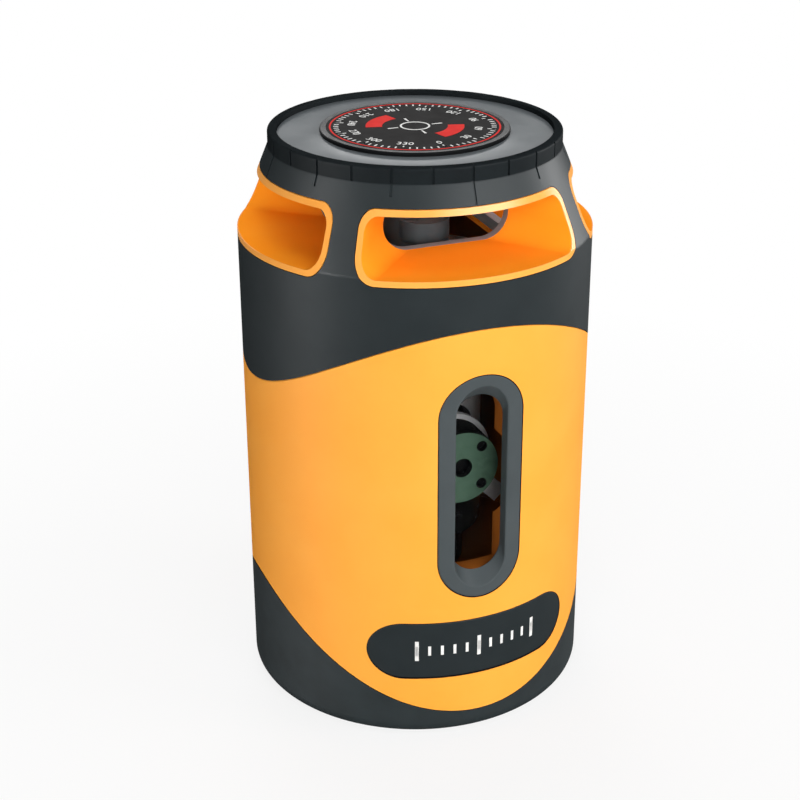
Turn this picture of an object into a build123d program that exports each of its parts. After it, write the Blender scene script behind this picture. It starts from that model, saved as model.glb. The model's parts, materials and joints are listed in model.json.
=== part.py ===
from build123d import *
import math
import os

# Line laser level in a housing shaped like a drinks can.
# Millimetres. The origin is the centre of the underside, +Z is up, the beam slot faces -Y.

# Fits
seam = 0.15             # open seam round flush panels
fit_gap = 0.1           # slip fit between fixed pieces
run_gap = 0.3           # room round pieces that move
pin_play = 0.03         # radial play of a pivot pin in its bearing
overrun = 1.0           # cuts run this far past the faces that they open

# Outer can
can_r = 33.0
can_h = 110.5
cone_h = 15.0           # height of the sloping shoulder
neck_h = 2.8            # height of the upright ring on the shoulder
neck_r = 26.9
foot_round = 2.7
shoulder_round = 1.2
rim_round = 0.45
jacket_t = 1.6          # rubber skin
casing_wall = 2.4       # orange tube where it shows
chassis_wall = 3.2

# Orange zone: arcs in the front view, at the middle and at the can's sides
zone_top_mid_drop = 9.8     # below the shoulder
zone_top_side_drop = 25.9
zone_low_mid_z = 4.7
zone_low_side_z = 25.1

# Tick marks engraved round the neck
tick_step = 15.0
tick_w = 0.45
tick_depth = 0.3
tick_mid_run = 1.95     # run down the cone of every second tick
tick_long_run = 3.65    # run down the cone of the quarter ticks

# Shoulder windows
window_rise = 4.8       # middle of the windows above the shoulder
lip_half_angle = 40.2
lip_w = 1.1
lip_low_drop = 6.1      # lip's lower edge below the middle
lip_top_rise = 6.2
lip_low_round = 5.0
lip_top_round = 3.5
hole_h = 9.8            # rounded hole at the funnel's inner end
hole_depth_y = 15.2     # that hole's distance from the axis
ring_skirt = 3.1        # window ring below the shoulder
ring_flange_t = 0.9
ring_flange_w = 2.1

# Pane carrier and panes
carrier_t = 1.7
carrier_h = 14.2
pane_t = 1.0
pane_cover = 0.25       # pane above and below the hole

# Top
top_recess = 0.95
top_plate_t = 2.4
top_disc_r = 17.4
top_disc_drop = 0.1     # disc's top below the rim
top_dish_w = 4.4        # width of the rising band round the disc
top_dish_h = 0.15
top_disc_round = 0.3
label_r = 16.2
label_t = 0.12

# Front slot
slot_z = 51.95
bezel_w = 16.2
bezel_h = 44.7
slot_w = 9.9
slot_mouth_h = 40.6
slot_throat_h = 35.5
bezel_round = 0.3
slot_pane_t = 0.8
slot_pane_depth = 4.8   # pane's outer face behind the can's surface
notch_w = 21.0          # chassis notch for the swinging front plate
notch_low_drop = 5.5    # notch below and above the slot's middle
notch_top_rise = 8.5
notch_bevel = 3.0

# Front pad
pad_w = 39.9
pad_h = 11.9
pad_z = 18.9
pad_t = 0.8
pad_sink = 0.1          # pad's face below the can's surface
pad_round = 0.3

# Foot and base
foot_w = 4.5            # width of the rubber foot ring
foot_h = 3.2
base_recess = 0.5
base_flange_t = 2.0
insert_r = 4.5
insert_h = 8.5
thread_r = 2.55         # minor radius of a quarter inch tripod thread
boss_wall = 3.0
boss_roof = 0.6
base_screw_edge = 2.7   # between the screw heads and the base plate's edge
screw_r = 1.2
screw_head_r = 2.2
screw_head_h = 1.4
base_screw_len = 11.0
boss_r = 3.0
screw_count = 4         # screws round the base and round the bracket
screw_angle = 45.0

# Battery and floor
battery_x = 40.0
battery_t = 9.8
battery_round = 2.0
foam_gap = 0.6
floor_t = 2.0
lead_r = 0.9
lead_gap = 0.9          # round the lead in the floor
lead_x = 6.0
lead_run = 4.5          # of the lead from its rise to the board
lead_reach = 5.0        # of the lead from the cell to its rise
lead_bend = 2.0

# Lock under the pendulum
lock_travel = 4.5
lock_pad_r = 6.2
lock_pad_t = 0.6
lock_arm_t = 1.2
lock_arm_w = 3.0
lock_short = 0.2        # raised pad stops this far under the stud
lock_az = 204.0
lock_stem_h = 3.0
lock_stem_w = 2.6
lock_tab_h = 4.5
lock_tab_w = 5.0
lock_tab_t = 1.0
lock_tab_gap = 2.0      # tab's outer face inside the chassis wall
lock_knob_w = 5.2
lock_knob_h = 6.4
lock_knob_t = 1.3
lock_knob_round = 0.4
lock_grip_r = 0.45      # round of the grip grooves
lock_grip_depth = 0.3
lock_grip_count = 3

# Damper under the pendulum
holder_wall = 2.7
magnet_r = 1.0
magnet_h = 2.0
magnet_count = 6
magnet_gap = 1.5
stud_r = 1.6
stud_len = 1.2
copper_r = 10.0
copper_t = 0.8

# Pendulum
weight_r = 13.0
weight_h = 7.2
weight_edge = 0.5
block_r = 9.5
column_r = 12.0
hub_rise = 4.0          # column's top above the pivots
column_wall_z = 2.9     # metal between the barrel and the column's foot
skirt_r = 12.8          # column's skirt round the block
skirt_drop = 4.0        # skirt's foot below the beam
skirt_rise = 11.0       # skirt's top above the beam
skirt_bore_r = 8.3      # barrel's way through the skirt
trim_r = 1.5
trim_len = 8.5
trim_rise = 3.2
trim_slot_w = 0.75
trim_slot_depth = 0.75
trim_azimuths = (42.0, 222.0)

# Gimbal
pivot_drop = 17.5       # pivots below the middle of the windows
gimbal_gap = 2.2        # between column and ring
gimbal_ring_w = 4.0
gimbal_ring_h = 7.5
post_gap = 1.2
post_t = 3.2
post_w = 9.0
post_rise = 4.5
bracket_t = 2.4
bracket_drop = 8.0      # bracket's seat below the pivots
ledge_w = 1.1
bracket_boss_r = 2.4
bracket_boss_h = 10.0
bracket_screw_len = 7.0
pin_r = 1.0
pin_root = 3.0          # pin's length inside the column
bearing_r = 2.5
bearing_len = 2.5
bearing_inset = 0.5

# Horizontal line module
barrel_r = 6.4
stem_r = 5.0
stem_floor = 7.55       # column below the barrel's stem
barrel_top_drop = 3.0   # barrel's top below the middle of the windows
bore_r = 3.1
lug_r = 4.8
lug_reach = 4.0
lug_h = 4.3
lug_round = 1.2
sleeve_h = 8.5
sleeve_t = 0.6
mirror_r = 5.6
mirror_lift = 1.5
cap_h = 1.4
cap_round = 0.45
lens_t = 2.0
diode_len = 4.0
diode_cap_r = 2.2

# Vertical line module
vertical_r = 5.6
plate_r = 7.1
plate_t = 1.2
plate_room = 3.4        # front plate behind the slot pane, room for its swing
aperture_r = 1.9
plate_hole_r = 1.05
plate_hole_circle = 5.4
plate_hole_count = 4
plate_hole_start = 45.0
head_step = 0.1         # barrel's head past the front plate's edge
clamp_w = 1.2
clamp_t = 0.95
clamp_back = 5.1        # clamp ring behind the front plate
clamp_ear_w = 3.4
clamp_ear_reach = 15.0
clamp_ear_angles = (45.0, 135.0)    # below the horizontal
barrel_root = 4.0       # barrel's end past the axis

# Rear controls
panel_w = 40.0
panel_h = 13.0
panel_t = 1.2
panel_rise = 4.0        # panel's middle above the floor
button_r = 3.8
button_sink = 0.1
button_round = 0.45
button_travel = 0.7
button_play = 0.2
flange_w = 1.0
flange_t = 0.8
button_stem_r = 1.6
switch_size = 6.0
switch_t = 1.9
port_az = 160.0
port_w = 9.0
port_h = 3.2
port_len = 5.1
port_sink = 2.0         # mouth behind the can's surface
port_foot_w = 6.0
port_foot_h = 1.6
port_wall = 0.35
port_tongue_t = 0.7
port_tongue_w = 6.0
port_depth = 4.5
flap_w = 12.0
flap_h = 7.0
flap_t = 1.2
flap_barrel_r = 0.6

# Main board
board_x0 = -7.4
board_gap = 0.8         # board's edge inside the chassis wall
board_t = 1.2
board_h = 21.0
board_lift = 1.0
standoff_r = 2.0
board_screw_r = 0.9
board_screw_head_r = 1.8
board_screw_head_h = 1.1
board_screw_len = 2.8
board_screw_xs = (-4.4, 11.0)
board_screw_drop = 3.0
chip_size = 7.0
chip_t = 1.0

# Radii and levels that follow
jacket_r_in = can_r - jacket_t
casing_r_in = can_r - casing_wall
chassis_r = casing_r_in - fit_gap
chassis_r_in = chassis_r - chassis_wall
foot_r_in = can_r - foot_w
base_screw_circle = foot_r_in - fit_gap - screw_head_r - base_screw_edge
neck_z = can_h - neck_h
shoulder_z = neck_z - cone_h
zone_top_mid_z = shoulder_z - zone_top_mid_drop
zone_top_side_z = shoulder_z - zone_top_side_drop
window_z = shoulder_z + window_rise
ring_z = shoulder_z - ring_skirt
plate_top_z = can_h - top_recess
plate_seat_z = plate_top_z - top_plate_t
base_top_z = foot_h + base_flange_t
insert_top_z = base_recess + insert_h
battery_z = insert_top_z + boss_roof
floor_low_z = battery_z + battery_t + foam_gap
floor_z = floor_low_z + floor_t
lock_z = floor_z + run_gap
lock_pad_top_z = lock_z + lock_arm_t + lock_pad_t
stud_z = lock_pad_top_z + lock_travel + lock_short
copper_z = stud_z + stud_len
weight_z = copper_z + copper_t
weight_top_z = weight_z + weight_h
column_z = slot_z + vertical_r + column_wall_z
pivot_z = window_z - pivot_drop
hub_z = pivot_z + hub_rise
stem_z = column_z + stem_floor
bracket_z = pivot_z - bracket_drop
gimbal_r_in = column_r + gimbal_gap
gimbal_r = gimbal_r_in + gimbal_ring_w
post_x = gimbal_r + post_gap
barrel_top_z = window_z - barrel_top_drop
sleeve_top_z = barrel_top_z + sleeve_h
carrier_half = hole_depth_y - fit_gap
carrier_half_in = carrier_half - carrier_t
carrier_z = ring_z + ring_flange_t
holder_r_in = lock_pad_r + 2 * run_gap
holder_r = holder_r_in + holder_wall
panel_z = floor_z + panel_rise
board_z = floor_z + board_lift
funnel_half_angle = lip_half_angle - math.degrees(lip_w / can_r)
plate_face_y = can_r - slot_pane_depth - slot_pane_t - plate_room
head_r = plate_r + head_step
port_turn = math.radians(180 - port_az)
port_back_y = can_r - port_sink - port_len
port_corner_y = port_back_y * math.cos(port_turn) - port_w / 2 * math.sin(port_turn)
board_back_y = port_corner_y - fit_gap
board_y = board_back_y - board_t
board_x1 = math.sqrt(chassis_r_in ** 2 - board_back_y ** 2) - board_gap
lead_y = board_y - lead_run
battery_y = 2 * (lead_y - lead_reach)
flange_r = button_r + flange_w
flange_y = math.sqrt(casing_r_in ** 2 - flange_r ** 2) - run_gap - flange_t
hole_half = hole_depth_y * math.tan(math.radians(funnel_half_angle))
hole_round = hole_h / 2 - fit_gap / 2
far = 2 * can_r
quarters = (0, 90, 180, 270)

MID = Align.CENTER
LOW = Align.MIN


# Simple solids

def post(r, z0, z1, x=0.0, y=0.0):
    return Pos(x, y, z0) * Cylinder(r, z1 - z0, align=(MID, MID, LOW))


def tube(r_in, r_out, z0, z1):
    return post(r_out, z0, z1) - post(r_in, z0, z1)


def rod_y(r, y0, y1, x=0.0, z=0.0):
    return Pos(x, y0, z) * Rot(-90, 0, 0) * Cylinder(r, y1 - y0, align=(MID, MID, LOW))


def rod_x(r, x0, x1, y=0.0, z=0.0):
    return Pos(x0, y, z) * Rot(0, 90, 0) * Cylinder(r, x1 - x0, align=(MID, MID, LOW))


def block(x0, x1, y0, y1, z0, z1):
    return Pos(x0, y0, z0) * Box(x1 - x0, y1 - y0, z1 - z0, align=(LOW, LOW, LOW))


def square_post(half, z0, z1):
    return block(-half, half, -half, half, z0, z1)


def turned(points, rounds=()):
    # Solid of revolution from (radius, height) points, with chosen corners rounded
    face = make_face(Polyline(*points, close=True))
    for index, radius in rounds:
        corner = face.vertices().sort_by_distance((*points[index], 0))[0]
        face = fillet(corner, radius)
    return revolve(Plane.XZ * face, Axis.Z)


def facing(azimuth, shape):
    # Turns a shape built towards the front to another side: 90 is right, 180 the rear
    return Rot(0, 0, azimuth) * shape


def front_prism(sketch, depth=far):
    return extrude(Plane.XZ * sketch, amount=depth)


def stadium(length, width, z, upright=False):
    return Pos(0, z) * SlotOverall(length, width, rotation=90 if upright else 0)


def round_face(shape, radius):
    # Rounds the edges of the foremost face
    return fillet(shape.faces().sort_by(Axis.Y)[0].edges(), radius)


def around(count, radius, shape, start=0.0):
    # Copies of a shape on a circle about the axis
    step = 360 / count
    return [Rot(0, 0, start + step * k) * Pos(radius, 0, 0) * shape for k in range(count)]


# Forms shared by the shells

def outer_form():
    points = [(0, 0), (can_r, 0), (can_r, shoulder_z), (neck_r, neck_z), (neck_r, can_h), (0, can_h)]
    return turned(points, [(1, foot_round), (2, shoulder_round), (4, rim_round)])


def inset_form(inset, low, top):
    # The can's form with its radius reduced by inset
    return turned([
        (0, low),
        (can_r - inset, low),
        (can_r - inset, shoulder_z),
        (neck_r - inset, neck_z),
        (neck_r - inset, top),
        (0, top),
    ])


def zone_arc_r(middle_z, side_z):
    rise = abs(middle_z - side_z)
    return (can_r ** 2 + rise ** 2) / (2 * rise)


def upper_zone(gap=0.0):
    # Everything above the upper arc
    r = zone_arc_r(zone_top_mid_z, zone_top_side_z)
    centre = zone_top_mid_z - r
    return block(-far, far, -far, far, centre, can_h + far) - rod_y(r + gap, -far, far, z=centre)


def lower_zone(gap=0.0):
    # Everything below the lower arc
    r = zone_arc_r(zone_low_mid_z, zone_low_side_z)
    centre = zone_low_mid_z + r
    return block(-far, far, -far, far, -far, centre) - rod_y(r + gap, -far, far, z=centre)


def radial_outline(y, half_angle, low, top, low_round, top_round, gap=0.0):
    # Section of a window at a distance from the axis: its sides are radial
    turn = math.radians(half_angle)
    half = y * math.tan(turn) + gap / math.cos(turn)
    corners = [(-half, low - gap), (half, low - gap), (half, top + gap), (-half, top + gap)]
    face = make_face(Polyline(*corners, close=True))
    face = fillet(face.vertices().group_by(Axis.Y)[0], low_round + gap)
    face = fillet(face.vertices().group_by(Axis.Y)[-1], top_round + gap)
    return Plane.XZ.offset(y) * face


def lip_form(gap=0.0):
    # A window's lip, filled, from the holes out past the can's surface
    low = window_z - lip_low_drop
    top = window_z + lip_top_rise
    rounds = (lip_low_round, lip_top_round)
    ends = (hole_depth_y, can_r + run_gap)
    return loft([radial_outline(y, lip_half_angle, low, top, *rounds, gap) for y in ends])


def funnel_outline(y, share):
    # Between the rounded hole at share 0 and the lip's inner edge at share 1
    drop = hole_h / 2 + (lip_low_drop - lip_w - hole_h / 2) * share
    rise = hole_h / 2 + (lip_top_rise - lip_w - hole_h / 2) * share
    low_round = hole_round + (lip_low_round - lip_w - hole_round) * share
    top_round = hole_round + (lip_top_round - lip_w - hole_round) * share
    return radial_outline(y, funnel_half_angle, window_z - drop, window_z + rise, low_round, top_round)


def funnel():
    corner_y = can_r * math.cos(math.radians(funnel_half_angle))
    flare = loft([funnel_outline(hole_depth_y - run_gap, 0), funnel_outline(corner_y, 1)])
    return flare + loft([funnel_outline(corner_y, 1), funnel_outline(can_r + run_gap, 1)])


def hole_prism():
    return front_prism(Pos(0, window_z) * RectangleRounded(2 * hole_half, hole_h, hole_round))


# Housing

def make_upper_jacket():
    skin = outer_form() - inset_form(jacket_t, -overrun, can_h + overrun)
    skin = (skin & upper_zone(seam)) - inlay_cuts()
    skin = skin - [facing(a, lip_form(seam)) for a in quarters]
    groove_layer = outer_form() - inset_form(tick_depth, -overrun, can_h + overrun)
    slabs = []
    for k in range(round(360 / tick_step)):
        azimuth = k * tick_step
        run = 0.0
        if k % 2 == 0:
            run = tick_mid_run
        if azimuth % 90 == 0:
            run = tick_long_run
        slab = block(-tick_w / 2, tick_w / 2, -far, 0, neck_z - run, can_h + overrun)
        slabs.append(facing(azimuth, slab))
    return skin - (groove_layer & Compound(children=slabs))


def make_lower_jacket():
    skin = outer_form() - post(jacket_r_in, foot_h, can_h + overrun) - post(foot_r_in, -overrun, foot_h)
    return (skin & lower_zone(seam)) - inlay_cuts()


def make_body_casing():
    core = tube(casing_r_in, jacket_r_in, foot_h, ring_z)
    shown = tube(jacket_r_in, can_r, foot_h, ring_z) - upper_zone() - lower_zone()
    return (core + shown) - inlay_cuts() - control_cuts()


def inlay_cuts():
    # Room for the bezel, the front pad and the rear panel, with their seams
    bezel = front_prism(stadium(bezel_h + 2 * seam, bezel_w + 2 * seam, slot_z, True))
    pad = front_prism(stadium(pad_w + 2 * seam, pad_h + 2 * seam, pad_z))
    panel = facing(180, front_prism(stadium(panel_w + 2 * seam, panel_h + 2 * seam, panel_z)))
    return [bezel, pad - post(can_r - pad_t, 0, can_h), panel - post(can_r - panel_t, 0, can_h)]


def control_cuts():
    # Ways through the rear wall for the button, the lock stem and the charge port
    button = rod_y(button_r + button_play, 0, far, z=panel_z)
    slot_low = lock_z - run_gap
    slot_top = lock_z + lock_stem_h + lock_travel + run_gap
    half = lock_stem_w / 2 + run_gap
    slot = facing(lock_az, block(-half, half, -far, 0, slot_low, slot_top))
    port = facing(port_az, port_block(fit_gap, far, 0))
    return [button, slot, port, flap_pocket()]


def port_block(grow, outer_y, inner_y):
    half = port_w / 2 + grow
    z_half = port_h / 2 + grow
    return block(-half, half, -outer_y, -inner_y, panel_z - z_half, panel_z + z_half)


def make_slot_bezel():
    frame = tube(casing_r_in, can_r, slot_z - bezel_h, slot_z + bezel_h)
    frame = frame & front_prism(stadium(bezel_h, bezel_w, slot_z, True))
    mouth = Plane.XZ.offset(can_r) * stadium(slot_mouth_h, slot_w, slot_z, True)
    throat = Plane.XZ.offset(casing_r_in) * stadium(slot_throat_h, slot_w, slot_z, True)
    straight = front_prism(stadium(slot_throat_h, slot_w, slot_z, True))
    frame = frame - loft([throat, mouth]) - straight
    return round_face(frame, bezel_round)


def chassis_slot_outline(gap=0.0):
    # Square at the foot, round at the top, as wide as the bezel's throat
    half = slot_w / 2 - gap
    low = slot_z - slot_throat_h / 2 + gap
    centre = slot_z + slot_throat_h / 2 - gap - half
    foot = Pos(0, (low + centre) / 2) * Rectangle(2 * half, centre - low)
    return foot + Pos(0, centre) * Circle(half)


def make_slot_pane():
    outer_y = can_r - slot_pane_depth
    return Pos(0, -outer_y + slot_pane_t, 0) * front_prism(chassis_slot_outline(fit_gap), slot_pane_t)


def make_front_pad():
    pad = tube(can_r - pad_t, can_r - pad_sink, 0, can_h) & front_prism(stadium(pad_w, pad_h, pad_z))
    return round_face(pad, pad_round)


def make_control_panel():
    outline = facing(180, front_prism(stadium(panel_w, panel_h, panel_z)))
    return (tube(can_r - panel_t, can_r, 0, can_h) & outline) - control_cuts()


def make_inner_chassis():
    wall = tube(chassis_r_in, chassis_r, base_top_z, ring_z)
    shape = wall + post(chassis_r_in + ledge_w / 2, floor_low_z, floor_z)
    shape = shape + base_screw_places(post(boss_r, base_top_z, floor_low_z))
    shape = shape + bracket_screw_places(post(bracket_boss_r, bracket_z - bracket_boss_h, bracket_z))
    for x in board_screw_xs:
        end = math.sqrt(chassis_r_in ** 2 - x ** 2) + ledge_w
        shape = shape + rod_y(standoff_r, board_back_y, end, x, board_screw_z())
    shape = shape - post(chassis_r_in + ledge_w, bracket_z, can_h)
    shape = shape - base_screw_places(post(screw_r, 0, base_recess + base_screw_len))
    shape = shape - bracket_screw_places(post(screw_r, bracket_z - bracket_screw_len, can_h))
    for x in board_screw_xs:
        shape = shape - rod_y(board_screw_r, board_y, board_back_y + board_screw_len, x, board_screw_z())
    shape = shape - front_prism(chassis_slot_outline()) - notch()
    shape = shape - post(lead_r + lead_gap, floor_low_z - overrun, floor_z + overrun, lead_x, lead_y)
    flange_floor = flange_y - button_travel - run_gap
    shape = shape - rod_y(flange_r + button_play, flange_floor, far, z=panel_z)
    return shape - wall_cuts()


def base_screw_places(shape):
    return around(screw_count, base_screw_circle, shape, screw_angle)


def bracket_screw_places(shape):
    return around(screw_count, chassis_r_in - bracket_boss_r / 2, shape, screw_angle)


def wall_cuts():
    # The chassis passes the button's stem only, and the rest as the casing does
    stem = rod_y(button_stem_r + button_play, 0, far, z=panel_z)
    return [stem] + control_cuts()[1:]


def notch():
    # Room for the swinging front plate, its lower edge bevelled downwards inside
    half = notch_w / 2
    low = slot_z - notch_low_drop
    top = slot_z + notch_top_rise
    side = Plane.YZ.offset(-half) * make_face(Polyline(
        (-chassis_r, low),
        (-chassis_r, top),
        (0, top),
        (0, low - notch_bevel),
        (-chassis_r_in, low - notch_bevel),
        close=True,
    ))
    return extrude(side, amount=notch_w)


def board_screw_z():
    return board_z + board_h - board_screw_drop


def make_window_ring():
    seat = jacket_t + fit_gap / 2
    body = inset_form(seat, ring_z, can_h) & post(far, ring_z, plate_seat_z)
    lip = lip_form() & outer_form()
    body = body + [facing(a, lip) for a in quarters]
    body = body - square_post(hole_depth_y, ring_z + ring_flange_t, can_h)
    body = body - square_post(hole_depth_y - ring_flange_w, ring_z - overrun, can_h)
    return body - [facing(a, funnel()) for a in quarters]


def make_pane_carrier():
    frame = square_post(carrier_half, carrier_z, carrier_z + carrier_h)
    frame = frame - square_post(carrier_half_in, carrier_z - overrun, can_h)
    return frame - [facing(a, hole_prism()) for a in quarters]


def make_window_pane(azimuth):
    half = carrier_half_in - pane_t - fit_gap / 2
    z_half = hole_h / 2 + pane_cover
    outer_y = -carrier_half_in
    pane = block(-half, half, outer_y, outer_y + pane_t, window_z - z_half, window_z + z_half)
    return facing(azimuth, pane)


def make_top_plate():
    # The plate rises in a shallow dish towards the disc
    r = neck_r - jacket_t - fit_gap
    dish_r = top_disc_r + top_dish_w
    lift = plate_top_z + top_dish_h
    lines = Polyline(
        (top_disc_r, lift),
        (0, lift),
        (0, plate_seat_z),
        (r, plate_seat_z),
        (r, plate_top_z),
        (dish_r, plate_top_z),
    )
    dish = TangentArc((dish_r, plate_top_z), (top_disc_r, lift), tangent=(-1, 0))
    return revolve(Plane.XZ * make_face([lines, dish]), Axis.Z)


def make_top_disc():
    low = plate_top_z + top_dish_h
    top = can_h - top_disc_drop
    disc = turned([(0, low), (top_disc_r, low), (top_disc_r, top), (0, top)], [(2, top_disc_round)])
    return disc - post(label_r + fit_gap / 2, top - label_t, top + overrun)


def make_top_label():
    top = can_h - top_disc_drop
    return post(label_r, top - label_t, top)


# Foot

def make_base_plate():
    plate = post(foot_r_in - fit_gap, base_recess, foot_h) + post(chassis_r, foot_h, base_top_z)
    plate = plate + post(insert_r + boss_wall, base_top_z, battery_z)
    plate = plate - post(insert_r, 0, insert_top_z)
    plate = plate - base_screw_places(post(screw_r + fit_gap, 0, base_top_z + overrun))
    return plate - base_screw_places(post(screw_head_r + fit_gap, 0, base_recess + screw_head_h))


def make_tripod_insert():
    return tube(thread_r, insert_r, base_recess, insert_top_z)


def screw(r, head_r, head_h, length):
    # Head below, shank upwards, with a square socket
    body = post(head_r, 0, head_h) + post(r, 0, length)
    return body - square_post(r / 2, -overrun, head_h / 2)


def make_base_screws():
    one = Pos(0, 0, base_recess) * screw(screw_r, screw_head_r, screw_head_h, base_screw_len)
    return Compound(children=base_screw_places(one))


def make_battery_pack():
    cell = Pos(0, 0, battery_z) * extrude(RectangleRounded(battery_x, battery_y, battery_round), battery_t)
    return fillet(cell.edges().group_by(Axis.Z)[-1], battery_round / 2)


def make_battery_lead():
    z_low = battery_z + battery_t / 2
    z_top = panel_z
    points = [
        (lead_x, battery_y / 2, z_low),
        (lead_x, lead_y, z_low),
        (lead_x, lead_y, z_top),
        (lead_x, board_y, z_top),
    ]
    path = FilletPolyline(*points, radius=lead_bend)
    return sweep(Plane(path @ 0, z_dir=path % 0) * Circle(lead_r), path)


# Gimbal

def make_gimbal_bracket():
    plate = tube(post_x, chassis_r_in + ledge_w - fit_gap, bracket_z, bracket_z + bracket_t)
    for side in (0, 180):
        leg = block(post_x, post_x + post_t, -post_w / 2, post_w / 2, bracket_z, pivot_z + post_rise)
        plate = plate + facing(side, leg)
    plate = plate - rod_x(bearing_r, -far, far, z=pivot_z)
    plate = plate - front_prism(chassis_slot_outline(-fit_gap))
    return plate - bracket_screw_places(post(screw_r + fit_gap, 0, can_h))


def make_bracket_screws():
    length = screw_head_h + bracket_t + bracket_screw_len
    one = Rot(180, 0, 0) * screw(screw_r, screw_head_r, screw_head_h, length)
    one = Pos(0, 0, bracket_z + bracket_t + screw_head_h) * one
    return Compound(children=bracket_screw_places(one))


def bearing(start):
    ring = rod_x(bearing_r, start, start + bearing_len, z=pivot_z)
    return ring - rod_x(pin_r + pin_play, 0, far, z=pivot_z)


def make_pitch_bearings():
    one = bearing(post_x + (post_t - bearing_len) / 2)
    return Compound(children=[facing(a, one) for a in (0, 180)])


def make_roll_bearings():
    one = bearing(gimbal_r_in + bearing_inset)
    return Compound(children=[facing(a, one) for a in (90, 270)])


def make_gimbal_ring():
    ring = tube(gimbal_r_in, gimbal_r, pivot_z - gimbal_ring_h / 2, pivot_z + gimbal_ring_h / 2)
    ring = ring - rod_x(pin_r, -far, far, z=pivot_z)
    return ring - rod_y(bearing_r, -far, far, z=pivot_z)


def make_pitch_pins():
    one = rod_x(pin_r, gimbal_r_in + bearing_inset, post_x + post_t - fit_gap, z=pivot_z)
    return Compound(children=[facing(a, one) for a in (0, 180)])


def make_roll_pins():
    one = rod_x(pin_r, column_r - pin_root, gimbal_r - bearing_inset, z=pivot_z)
    return Compound(children=[facing(a, one) for a in (90, 270)])


# Pendulum

def make_pendulum_column():
    column = turned(
        [(0, column_z), (column_r, column_z), (column_r, hub_z), (0, hub_z)],
        [(1, weight_edge), (2, weight_edge)],
    )
    skirt = tube(block_r + fit_gap, skirt_r, slot_z - skirt_drop, slot_z + skirt_rise)
    column = column + (skirt - rod_y(skirt_bore_r, -far, 0, z=slot_z))
    column = column - post(stem_r, stem_z, hub_z + overrun)
    for side in (90, 270):
        column = column - facing(side, rod_x(pin_r, column_r - pin_root, far, z=pivot_z))
    return column


def make_module_block():
    body = post(block_r, weight_top_z, column_z)
    body = body - rod_y(vertical_r, -far, barrel_root, z=slot_z)
    return body - [trim_place(a) * rod_x(trim_r, 0, trim_len) for a in trim_azimuths]


def trim_place(azimuth):
    # Trim screws point outwards from inside the block, low on the pendulum
    return Rot(0, 0, azimuth - 90) * Pos(block_r - trim_len / 2, 0, weight_top_z + trim_rise)


def make_trim_screws():
    body = rod_x(trim_r, 0, trim_len)
    slot = block(trim_len - trim_slot_depth, far, -trim_slot_w / 2, trim_slot_w / 2, -far, far)
    return Compound(children=[trim_place(a) * (body - slot) for a in trim_azimuths])


def make_balance_weight():
    body = turned(
        [(0, weight_z), (weight_r, weight_z), (weight_r, weight_top_z), (0, weight_top_z)],
        [(1, weight_edge), (2, weight_edge)],
    )
    return body + post(stud_r, stud_z, weight_z)


def make_damping_plate():
    return tube(stud_r, copper_r, copper_z, weight_z)


def make_horizontal_barrel():
    body = post(barrel_r, hub_z, barrel_top_z) + post(stem_r, stem_z, hub_z)
    lug_z = barrel_top_z - lug_h
    lug = post(lug_r, lug_z, barrel_top_z, y=-lug_reach)
    lug = fillet(lug.edges().group_by(Axis.Z)[0], lug_round)
    return body + lug - post(bore_r, stem_z - overrun, barrel_top_z + overrun)


def make_horizontal_lens():
    low = barrel_top_z - 2 * lens_t
    crown = lens_t / 2
    return turned([(0, low), (bore_r, low), (bore_r, low + crown), (0, low + lens_t)])


def make_horizontal_diode():
    return post(bore_r, stem_z, stem_z + diode_len / 2) + post(diode_cap_r, stem_z, stem_z + diode_len)


def make_prism_sleeve():
    return tube(barrel_r - sleeve_t, barrel_r, barrel_top_z, sleeve_top_z)


def make_cone_mirror():
    tip = barrel_top_z + mirror_lift
    base = tip + mirror_r
    return turned([(0, tip), (mirror_r, base), (mirror_r, sleeve_top_z), (0, sleeve_top_z)])


def make_prism_cap():
    top = sleeve_top_z + cap_h
    return turned(
        [(0, sleeve_top_z), (barrel_r, sleeve_top_z), (barrel_r, top), (0, top)],
        [(2, cap_round)],
    )


def make_vertical_barrel():
    front = -plate_face_y + plate_t
    head = rod_y(head_r, front, front + clamp_back + clamp_w, z=slot_z)
    body = rod_y(vertical_r, front, barrel_root, z=slot_z) + head
    return body - rod_y(bore_r, front - overrun, barrel_root + overrun, z=slot_z)


def make_vertical_front_plate():
    back = -plate_face_y + plate_t
    plate = rod_y(plate_r, -plate_face_y, back, z=slot_z) - rod_y(aperture_r, -far, 0, z=slot_z)
    for k in range(plate_hole_count):
        angle = math.radians(plate_hole_start + 360 / plate_hole_count * k)
        x = plate_hole_circle * math.cos(angle)
        z = slot_z + plate_hole_circle * math.sin(angle)
        plate = plate - rod_y(plate_hole_r, -far, 0, x, z)
    return plate


def make_clamp_ring():
    # The ring has an ear on each side of its foot
    front = -plate_face_y + plate_t + clamp_back
    ring = rod_y(head_r + clamp_t, front, front + clamp_w, z=slot_z)
    half = clamp_ear_w / 2
    ear = block(0, clamp_ear_reach, front, front + clamp_w, -half, half)
    ring = ring + [Pos(0, 0, slot_z) * Rot(0, angle, 0) * ear for angle in clamp_ear_angles]
    return ring - rod_y(head_r, -far, 0, z=slot_z)


def make_vertical_lens():
    front = -plate_face_y + plate_t
    return rod_y(bore_r, front, front + lens_t, z=slot_z)


def make_vertical_diode():
    back = barrel_root
    body = rod_y(bore_r, back - diode_len / 2, back, z=slot_z)
    return body + rod_y(diode_cap_r, back - diode_len, back, z=slot_z)


# Damper and lock

def make_magnet_holder():
    top = copper_z - magnet_gap
    ring = tube(holder_r_in, holder_r, floor_z, top)
    half = lock_arm_w / 2 + 2 * run_gap
    ring = ring - facing(lock_az, block(-half, half, -far, 0, 0, can_h))
    return ring - magnet_solids(top)


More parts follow.
